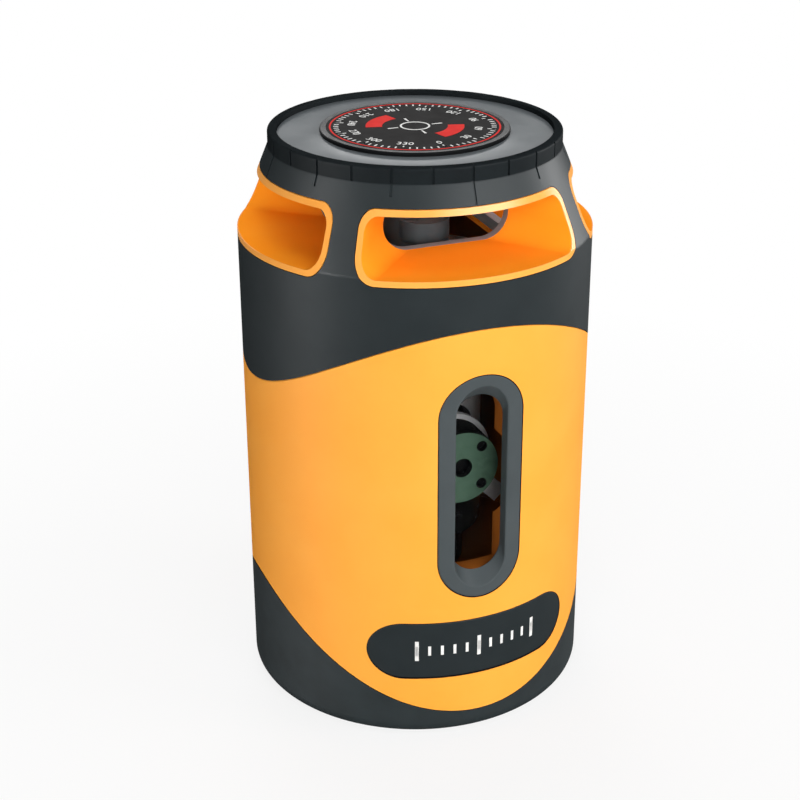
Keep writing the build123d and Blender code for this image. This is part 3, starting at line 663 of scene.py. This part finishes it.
def open_tree(name, **inputs):
    # A geometry tree with named inputs
    tree = bpy.data.node_groups.new(name, "GeometryNodeTree")
    tree.interface.new_socket("Geometry", in_out="OUTPUT", socket_type="NodeSocketGeometry")
    for label, kind in inputs.items():
        tree.interface.new_socket(label, in_out="INPUT", socket_type="NodeSocket" + kind)
    return tree, tree.nodes.new("NodeGroupInput").outputs


def close_tree(tree, geometry, finish):
    solid = add(tree, "GeometryNodeRealizeInstances", links={"Geometry": geometry})
    coated = add(tree, "GeometryNodeSetMaterial", links={"Geometry": solid.outputs[0], "Material": finish})
    tree.links.new(coated.outputs[0], tree.nodes.new("NodeGroupOutput").inputs[0])
    return tree


def grow(name, tree, **values):
    # Runs a tree once and keeps what it makes as a plain mesh at the origin
    piece = bpy.data.objects.new(name, bpy.data.meshes.new(name))
    bpy.context.scene.collection.objects.link(piece)
    modifier = piece.modifiers.new(name, "NODES")
    modifier.node_group = tree
    for item in tree.interface.items_tree:
        if item.in_out == "INPUT":
            modifier[item.identifier] = values[item.name]
    grown = piece.evaluated_get(bpy.context.evaluated_depsgraph_get())
    piece.data = bpy.data.meshes.new_from_object(grown)
    piece.modifiers.clear()
    return piece


def join_rows(shape, rows, whole):
    # Walls between rows of corners, with ends unless the rows close up
    pairs = zip(rows, rows[1:] + rows[:1]) if whole else zip(rows, rows[1:])
    for here, there in pairs:
        for k in range(len(here)):
            shape.faces.new((here[k], there[k], there[k - 1], here[k - 1]))
    if not whole:
        shape.faces.new(rows[0])
        shape.faces.new(rows[-1])


def sector(shape, inner, outer, start, sweep, steps):
    # A flat printed band on the label between two radii, closed all round
    whole = sweep >= 360
    corners = ((inner, -ink_sink), (outer, -ink_sink), (outer, ink_t), (inner, ink_t))
    rows = []
    for k in range(steps if whole else steps + 1):
        a = math.radians(start + sweep * k / steps)
        places = [(r * math.sin(a), -r * math.cos(a), label_top + rise) for r, rise in corners]
        rows.append([shape.verts.new(place) for place in places])
    join_rows(shape, rows, whole)


def stroke(shape, path, spot, whole=False):
    # A printed line along (across, up) points, laid on a surface by spot
    rows = []
    for k, here in enumerate(path):
        before = path[k - 1] if whole or k else here
        after = path[(k + 1) % len(path)] if whole or k < len(path) - 1 else here
        run = (Vector(after) - Vector(before)).normalized()
        straight = (Vector(after) - Vector(here)).normalized() if after != here else run
        half = mark_line_w / 2 / max(corner_limit, run.dot(straight))
        row = []
        for side, rise in ((-half, -ink_sink), (half, -ink_sink), (half, ink_t), (-half, ink_t)):
            row.append(shape.verts.new(spot(here[0] - run.y * side, here[1] + run.x * side, rise)))
        rows.append(row)
    join_rows(shape, rows, whole)


def arc_points(radius, start, sweep, steps, up=0.0):
    angles = [math.radians(start + sweep * k / steps) for k in range(steps + 1)]
    return [(radius * math.cos(a), up + radius * math.sin(a)) for a in angles]


def on_can(azimuth, level):
    # Lays (across, up, rise) on the can's surface round a point of it
    def spot(across, up, rise):
        a = math.radians(azimuth) + across / can_r
        return (can_r + rise) * math.sin(a), -(can_r + rise) * math.cos(a), level + up

    return spot


# Degree dial

def dial_tree():
    # Bars that point at the axis, side by side on a circle
    tree, given = open_tree(
        "dial_marks", Count="Int", Radius="Float", Length="Float", Width="Float", Ink="Float", Level="Float",
        Finish="Material",
    )
    circle = add(
        tree, "GeometryNodeMeshCircle",
        links={"Vertices": given["Count"], "Radius": given["Radius"]},
    )
    size = vector(tree, X=given["Length"], Y=given["Width"], Z=given["Ink"])
    bar = add(tree, "GeometryNodeMeshCube", links={"Size": size})
    spot = add(tree, "GeometryNodeInputPosition")
    turn = add(tree, "FunctionNodeAlignRotationToVector", links={"Vector": spot.outputs[0]}, axis="X")
    bars = add(
        tree, "GeometryNodeInstanceOnPoints",
        links={"Points": circle.outputs[0], "Instance": bar.outputs[0], "Rotation": turn.outputs[0]},
    )
    lift = vector(tree, Z=given["Level"])
    raised = add(
        tree, "GeometryNodeTransform",
        links={"Geometry": bars.outputs[0], "Translation": lift},
    )
    return close_tree(tree, raised.outputs[0], given["Finish"])


def dial_ticks(name, tree, count, length):
    return grow(
        name, tree, Count=count, Length=length, Radius=dial_tick_r - length / 2, Width=dial_tick_w,
        Ink=ink_t + ink_sink, Level=dial_ink_z, Finish=white,
    )


def dial_bands():
    # A fine red ring near the edge and two opposite red sectors round the middle
    shape = bmesh.new()
    half = dial_ring_w / 2
    sector(shape, dial_ring_r - half, dial_ring_r + half, 0, 360, dial_ring_steps)
    for start in dial_sector_starts:
        sector(shape, *dial_sector_r, start, dial_sector_sweep, dial_sector_steps)
    return from_bmesh("dial_bands", shape, red)


def dial_cross():
    # A white cross and circle at the middle, to set the level over a point
    shape = bmesh.new()
    sector(shape, dial_circle_r, dial_circle_r + dial_cross_w, 0, 360, dial_circle_steps)
    for turn in (0, 90, 180, 270):
        sector(shape, *dial_cross_arm, turn - dial_cross_half, 2 * dial_cross_half, 1)
    return from_bmesh("dial_cross", shape, white)


def number_mesh(degrees):
    # One number as a thin solid, in its place on the dial
    text = bpy.data.curves.new("number", "FONT")
    text.body = str(degrees)
    text.size = dial_number_h
    text.align_x = "CENTER"
    text.align_y = "CENTER"
    text.extrude = (ink_t + ink_sink) / 2
    word = bpy.data.objects.new("number", text)
    bpy.context.scene.collection.objects.link(word)
    mesh = bpy.data.meshes.new_from_object(word.evaluated_get(bpy.context.evaluated_depsgraph_get()))
    bpy.data.objects.remove(word)
    bpy.data.curves.remove(text)
    a = math.radians(degrees)
    spot = Vector((dial_number_r * math.sin(a), -dial_number_r * math.cos(a), dial_ink_z))
    mesh.transform(Matrix.Translation(spot) @ Matrix.Rotation(a, 4, "Z"))
    return mesh


def dial_numbers():
    # Plain degrees, read from outside the dial
    shape = bmesh.new()
    for degrees in range(0, 360, dial_number_step):
        mesh = number_mesh(degrees)
        shape.from_mesh(mesh)
        bpy.data.meshes.remove(mesh)
    bmesh.ops.remove_doubles(shape, verts=shape.verts, dist=number_weld)
    return from_bmesh("dial_numbers", shape, white)


def make_dial():
    tree = dial_tree()
    minor = dial_ticks("dial_minor_ticks", tree, dial_minor_count, dial_minor_len)
    major = dial_ticks("dial_major_ticks", tree, dial_major_count, dial_major_len)
    for piece in (minor, major, dial_bands(), dial_cross(), dial_numbers()):
        place_piece(piece, "housing")


# Tick scale on the front pad

def scale_tree():
    # Upright bars in a row, bent round the can
    tree, given = open_tree(
        "pad_scale", Count="Int", Step="Float", Width="Float", Height="Float", Ink="Float", Radius="Float",
        Level="Float", Finish="Material",
    )
    span = calc(tree, "MULTIPLY", calc(tree, "SUBTRACT", given["Count"], 1.0), given["Step"])
    first = vector(tree, X=calc(tree, "MULTIPLY", span, -0.5))
    step = vector(tree, X=given["Step"])
    row = add(
        tree, "GeometryNodeMeshLine",
        links={"Count": given["Count"], "Start Location": first, "Offset": step},
    )
    size = vector(tree, X=given["Width"], Y=given["Ink"], Z=given["Height"])
    bar = add(tree, "GeometryNodeMeshCube", {"Vertices X": scale_bend_steps}, {"Size": size})
    bars = add(
        tree, "GeometryNodeInstanceOnPoints",
        links={"Points": row.outputs[0], "Instance": bar.outputs[0]},
    )
    solid = add(tree, "GeometryNodeRealizeInstances", links={"Geometry": bars.outputs[0]})
    flat = axes_of(tree, add(tree, "GeometryNodeInputPosition").outputs[0])
    angle = calc(tree, "DIVIDE", flat["X"], given["Radius"])
    reach = calc(tree, "SUBTRACT", flat["Y"], given["Radius"])
    across = calc(tree, "MULTIPLY", calc(tree, "MULTIPLY", calc(tree, "SINE", angle), reach), -1.0)
    back = calc(tree, "MULTIPLY", calc(tree, "COSINE", angle), reach)
    height = calc(tree, "ADD", flat["Z"], given["Level"])
    curved = add(
        tree, "GeometryNodeSetPosition",
        links={"Geometry": solid.outputs[0], "Position": vector(tree, X=across, Y=back, Z=height)},
    )
    return close_tree(tree, curved.outputs[0], given["Finish"])


def make_pad_scale():
    tree = scale_tree()
    bars = {"Radius": pad_face_r, "Ink": 2 * ink_t, "Level": pad_mid_z, "Finish": white}
    major_step = scale_step * (scale_count - 1) / (scale_major_count - 1)
    minor = grow(
        "pad_minor_bars", tree, Count=scale_count, Step=scale_step,
        Width=scale_minor_w, Height=scale_minor_h, **bars,
    )
    major = grow(
        "pad_major_bars", tree, Count=scale_major_count, Step=major_step,
        Width=scale_major_w, Height=scale_major_h, **bars,
    )
    for piece in (minor, major):
        place_piece(piece, "housing")


# Marks on the controls

def padlock(shape, level, lifted):
    # A padlock beside the lock slider, shut or with its shackle lifted
    spot = on_can(lock_azimuth - lock_mark_turn, level)
    half, low = lock_mark_w / 2, -lock_mark_h
    stroke(shape, [(-half, low), (half, low), (half, 0), (-half, 0)], spot, True)
    bow = arc_points(shackle_r, 0, 180, shackle_steps, shackle_rise)
    shut = mark_line_w / 2
    free_end = (shackle_r, shackle_open if lifted else shut)
    stroke(shape, [free_end] + bow + [(-shackle_r, shut)], spot)


def make_lock_marks():
    # Open padlock where the slider rests, shut padlock where it lifts to
    shape = bmesh.new()
    padlock(shape, knob_mid_z, True)
    padlock(shape, knob_mid_z + lock_travel, False)
    place_piece(from_bmesh("lock_marks", shape, white), "housing")


def make_key_mark():
    # Plain on and off sign on the key's flat face
    shape = bmesh.new()

    def spot(across, up, rise):
        return -across, key_high.y + rise, key_mid_z + up

    stroke(shape, arc_points(key_mark_r, key_mark_start, key_mark_sweep, key_mark_steps), spot)
    stroke(shape, [(0, up) for up in key_bar], spot)
    place_piece(from_bmesh("key_mark", shape, white), "mode_key")


def make_flap_mark():
    # A charging bolt printed on the port flap
    shape = bmesh.new()
    spot = on_can(flap_azimuth, flap_mid_z)
    low, high = [], []
    for outline, rise in ((low, -ink_sink), (high, ink_t)):
        for across, up in bolt_mark:
            outline.append(shape.verts.new(spot(across * MM, up * MM, rise)))
        shape.faces.new(outline)
    for k in range(len(low)):
        shape.faces.new((low[k - 1], low[k], high[k], high[k - 1]))
    place_piece(from_bmesh("flap_mark", shape, white), "flap")


def make_flap_rib():
    # A half-round rib with rounded ends, to pull the port flap open by
    shape = bmesh.new()
    spot = on_can(flap_azimuth, flap_low.z + rib_rise)
    profile = arc_points(1.0, 0, 180, rib_sides)
    rows = []
    for k in range(rib_steps + 1):
        along = 2 * k / rib_steps - 1
        r = rib_r * (1 - abs(along) ** rib_fullness) ** 0.5 + rib_end_r
        rows.append([shape.verts.new(spot(along * rib_half, c * r, s * r - ink_sink)) for c, s in profile])
    join_rows(shape, rows, False)
    place_piece(from_bmesh("flap_rib", shape, finish_of["dark_rubber"]), "flap")


# Painted seam shade

def seal_tree():
    # A thin black bead round a rounded inlay, laid on the can's curve, as the seam's painted shade
    tree, given = open_tree(
        "inlay_shade_bead", Across="Float", Up="Float", Level="Float", Radius="Float", Bead="Float", Turn="Float",
        Finish="Material",
    )
    outline = add(
        tree, "GeometryNodeCurvePrimitiveQuadrilateral",
        links={"Width": given["Across"], "Height": given["Up"]},
    )
    narrow = calc(tree, "MINIMUM", given["Across"], given["Up"])
    corner = calc(tree, "MULTIPLY", narrow, shade_bead_corner)
    rounded = add(
        tree, "GeometryNodeFilletCurve", {"Count": shade_bead_corner_steps},
        {"Curve": outline.outputs[0], "Radius": corner}, mode="POLY",
    )
    fine = add(
        tree, "GeometryNodeResampleCurve", {"Length": shade_bead_step},
        {"Curve": rounded.outputs[0]}, mode="LENGTH",
    )
    flat = axes_of(tree, add(tree, "GeometryNodeInputPosition").outputs[0])
    radius_squared = calc(tree, "POWER", given["Radius"], 2.0)
    across_squared = calc(tree, "MULTIPLY", flat["X"], flat["X"])
    out = calc(tree, "SQRT", calc(tree, "SUBTRACT", radius_squared, across_squared))
    front = calc(tree, "MULTIPLY", out, -1.0)
    height = calc(tree, "ADD", flat["Y"], given["Level"])
    curved = add(
        tree, "GeometryNodeSetPosition",
        links={"Geometry": fine.outputs[0], "Position": vector(tree, X=flat["X"], Y=front, Z=height)},
    )
    profile = add(
        tree, "GeometryNodeCurvePrimitiveCircle", {"Resolution": shade_bead_sides},
        {"Radius": given["Bead"]},
    )
    bead = add(
        tree, "GeometryNodeCurveToMesh",
        links={"Curve": curved.outputs[0], "Profile Curve": profile.outputs[0]},
    )
    turn = vector(tree, Z=given["Turn"])
    turned = add(tree, "GeometryNodeTransform", links={"Geometry": bead.outputs[0], "Rotation": turn})
    return close_tree(tree, turned.outputs[0], given["Finish"])


def make_seals():
    tree = seal_tree()
    for name, turn in shaded_seams.items():
        low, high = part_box(name)
        piece = grow(
            name + "_shade_bead", tree, Across=high.x - low.x + seam_w, Up=high.z - low.z + seam_w,
            Level=(low.z + high.z) / 2, Radius=can_r - shade_bead_sink, Bead=shade_bead_r, Turn=turn,
            Finish=seam_shade,
        )
        place_piece(piece, "housing")


# Tripod thread

def bore_radius(up, height, turn):
    # Radius of the threaded bore at a height in it and a share of a turn
    edge = max(0.0, 1 - min(up, height - up) / thread_mouth)
    phase = (up / thread_pitch - turn) % 1.0
    cut = max(abs(2 * phase - 1), edge)
    return thread_crest_r + (thread_root_r - thread_crest_r) * cut


def ring_of(shape, radii, z):
    # One round of points, each at its own radius
    ring = []
    for k, r in enumerate(radii):
        a = 2 * math.pi * k / len(radii)
        ring.append(shape.verts.new((r * math.cos(a), r * math.sin(a), z)))
    return ring


def make_threaded_insert():
    # Brass insert with the tripod thread cut into its bore
    shape = bmesh.new()
    height = insert_high.z - insert_low.z
    rings = []
    for row in range(thread_rows + 1):
        up = height * row / thread_rows
        radii = [bore_radius(up, height, k / thread_columns) for k in range(thread_columns)]
        rings.append(ring_of(shape, radii, insert_low.z + up))
    for z in (insert_high.z, insert_low.z):
        rings.append(ring_of(shape, [insert_high.x] * thread_columns, z))
    for here, there in zip(rings, rings[1:] + rings[:1]):
        for k in range(thread_columns):
            shape.faces.new((here[k - 1], here[k], there[k], there[k - 1]))
    piece = from_bmesh("tripod_insert_threaded", shape, finish_of["brass"])
    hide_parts("tripod_insert")
    place_piece(piece, "housing")


# Stage

def seen_rays(tree):
    # 1 for what the camera sees straight, in a gloss or through glass
    path = add(tree, "ShaderNodeLightPath").outputs
    gloss = calc(tree, "MAXIMUM", path["Is Glossy Ray"], path["Is Transmission Ray"])
    return calc(tree, "MAXIMUM", path["Is Camera Ray"], gloss)


def make_floor():
    # Pale floor that is seen as white, and keeps a shadow round the can's foot
    corners = [(x * floor_half, y * floor_half, 0) for x, y in ((-1, -1), (1, -1), (1, 1), (-1, 1))]
    mesh = bpy.data.meshes.new("floor")
    mesh.from_pydata(corners, [], [(0, 1, 2, 3)])
    floor = bpy.data.objects.new("floor", mesh)
    bpy.context.scene.collection.objects.link(floor)
    material, tree, shader, place = surface("pale_floor", Base_Color=linear(floor_hex), Roughness=0.9)
    glow = add(tree, "ShaderNodeEmission", {"Color": (1, 1, 1, 1), "Strength": 1.0})
    reach = add(tree, "ShaderNodeVectorMath", links={0: place}, operation="LENGTH").outputs["Value"]
    whiteness = remap(tree, reach, floor_fade, (floor_white, 1.0))
    share = calc(tree, "MULTIPLY", seen_rays(tree), whiteness)
    blend = add(
        tree, "ShaderNodeMixShader",
        links={0: share, 1: shader.outputs[0], 2: glow.outputs[0]},
    )
    tree.links.new(blend.outputs[0], tree.nodes["Material Output"].inputs["Surface"])
    mesh.materials.append(material)


def make_world():
    # White surroundings where they are seen, and faint room light on the object
    world = bpy.data.worlds.new("studio")
    bpy.context.scene.world = world
    world.use_nodes = True
    tree = world.node_tree
    room = tree.nodes["Background"]
    room.inputs["Color"].default_value = (1, 1, 1, 1)
    tree.links.new(remap(tree, seen_rays(tree), target=(room_light, 1.0)), room.inputs["Strength"])


def soft_light(name, azimuth, elevation, width, height, power):
    # A soft box that looks at the middle of the can
    light = bpy.data.lights.new(name, "AREA")
    light.shape = "RECTANGLE"
    light.size = width
    light.size_y = height
    light.energy = power
    lamp = bpy.data.objects.new(name, light)
    bpy.context.scene.collection.objects.link(lamp)
    a, e = math.radians(azimuth), math.radians(elevation)
    away = Vector((math.sin(a) * math.cos(e), -math.cos(a) * math.cos(e), math.sin(e)))
    lamp.location = Vector((0, 0, can_h / 2)) + away * lamp_reach
    lamp.rotation_euler = (-away).to_track_quat("-Z", "Y").to_euler()
    return lamp


def link_light(lamp, names, state):
    # Keeps a lamp to the named nodes, or off them
    group = bpy.data.collections.new(lamp.name)
    for name in names:
        group.objects.link(nodes[name])
    for row in group.collection_objects:
        row.light_linking.link_state = state
    lamp.light_linking.receiver_collection = group


def make_lights():
    # Soft boxes that light the object, then strips that show only as gloss on the skins that they name
    for name, values in soft_boxes.items():
        lamp = soft_light(name, *values)
        if name in kept_off:
            link_light(lamp, kept_off[name], "EXCLUDE")
    for name, (*values, skins) in gleams.items():
        lamp = soft_light(name, *values)
        lamp.visible_diffuse = False
        link_light(lamp, skins, "INCLUDE")


def make_camera():
    camera = bpy.data.cameras.new("camera")
    camera.lens = camera_lens
    camera.sensor_width = camera_sensor
    camera.shift_x = -axis_right_px / frame_px
    camera.clip_start = camera_near
    view = bpy.data.objects.new("camera", camera)
    bpy.context.scene.collection.objects.link(view)
    turn = math.radians(camera_azimuth)
    view.location = (camera_reach * math.sin(turn), -camera_reach * math.cos(turn), camera_height)
    view.rotation_euler = (math.radians(90 - camera_pitch), 0, turn)
    bpy.context.scene.camera = view


dress_nodes()
make_dial()
make_pad_scale()
make_lock_marks()
make_key_mark()
make_flap_mark()
make_flap_rib()
make_seals()
make_threaded_insert()
make_floor()
make_world()
make_lights()
make_camera()
bpy.context.scene.view_settings.view_transform = "Standard"
